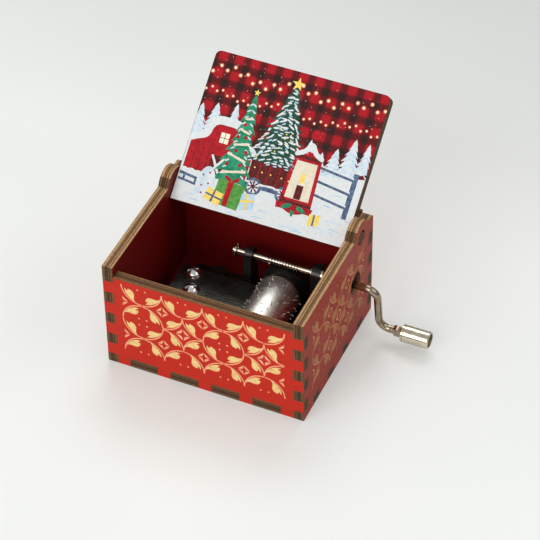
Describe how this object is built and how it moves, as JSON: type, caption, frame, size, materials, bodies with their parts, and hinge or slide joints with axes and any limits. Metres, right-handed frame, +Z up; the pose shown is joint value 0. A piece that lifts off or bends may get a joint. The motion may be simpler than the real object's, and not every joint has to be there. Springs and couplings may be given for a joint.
{
  "type": "hand crank music box",
  "caption": "Finger-jointed plywood music box with a pegged hinged lid, open, holding a comb-and-drum movement turned by a side crank with a spinning knob.",
  "frame": {"origin": "centre of the underside of the plywood case, on the surface that it stands on", "axes": "+Z up; +X along the front towards the side that the crank comes out of; +Y from the front towards the hinged back"},
  "size_m": [0.0873, 0.0762, 0.066],
  "materials": {
    "painted_ply": "printed red face over laser-cut plywood, engraved with cream scrolls",
    "lid_ply": "printed face over laser-cut plywood",
    "bare_ply": "raw plywood",
    "black_casting": "black painted die casting",
    "comb_steel": "ground dark spring steel",
    "bright_screw": "bright plated",
    "lead": "dull grey lead",
    "damper": "thin pale plastic",
    "drum_steel": "polished steel, turned lightly",
    "black_plastic": "moulded black plastic",
    "nickel": "nickel plated, warm and slightly worn"
  },
  "bodies": {
    "case": {"front_panel": "painted_ply", "back_panel": "painted_ply", "left_side_panel": "painted_ply", "right_side_panel": "painted_ply", "bottom_panel": "bare_ply", "bedplate": "black_casting", "movement_screws": "bright_screw", "comb": "comb_steel", "comb_screws": "bright_screw", "comb_weights": "lead", "comb_dampers": "damper", "bearing_bridge": "bright_screw", "bridge_screws": "bright_screw", "crank_bush": "nickel"},
    "lid": {"lid_panel": "lid_ply"},
    "drum": {"drum_tube": "drum_steel", "drum_pins": "bright_screw", "drum_front_cap": "drum_steel", "drum_rear_cap": "drum_steel", "drum_arbor": "drum_steel", "worm_wheel": "black_plastic"},
    "crank": {"worm_shaft": "bright_screw", "shaft_clip": "drum_steel", "crank_wire": "nickel"},
    "knob": {"crank_knob": "nickel"}
  },
  "joints": [
    {"name": "lid_hinge", "type": "hinge", "parent": "case", "child": "lid", "pos_m": [0, 0.0169, 0.03705], "axis": [1, 0, 0], "range_deg": [0, 139.3]},
    {"name": "crank_spin", "type": "hinge", "parent": "case", "child": "crank", "pos_m": [0, 0.013, 0.021], "axis": [1, 0, 0], "continuous": true},
    {"name": "drum_spin", "type": "hinge", "parent": "case", "child": "drum", "pos_m": [0.0091, 0, 0.013], "axis": [0, 1, 0], "continuous": true},
    {"name": "knob_spin", "type": "hinge", "parent": "crank", "child": "knob", "pos_m": [0.05, 0.0156, 0.0044], "axis": [1, 0, 0], "continuous": true}
  ],
  "couplings": [
    {"joint": "drum_spin", "follows": "crank_spin", "ratio": -0.043478}
  ]
}
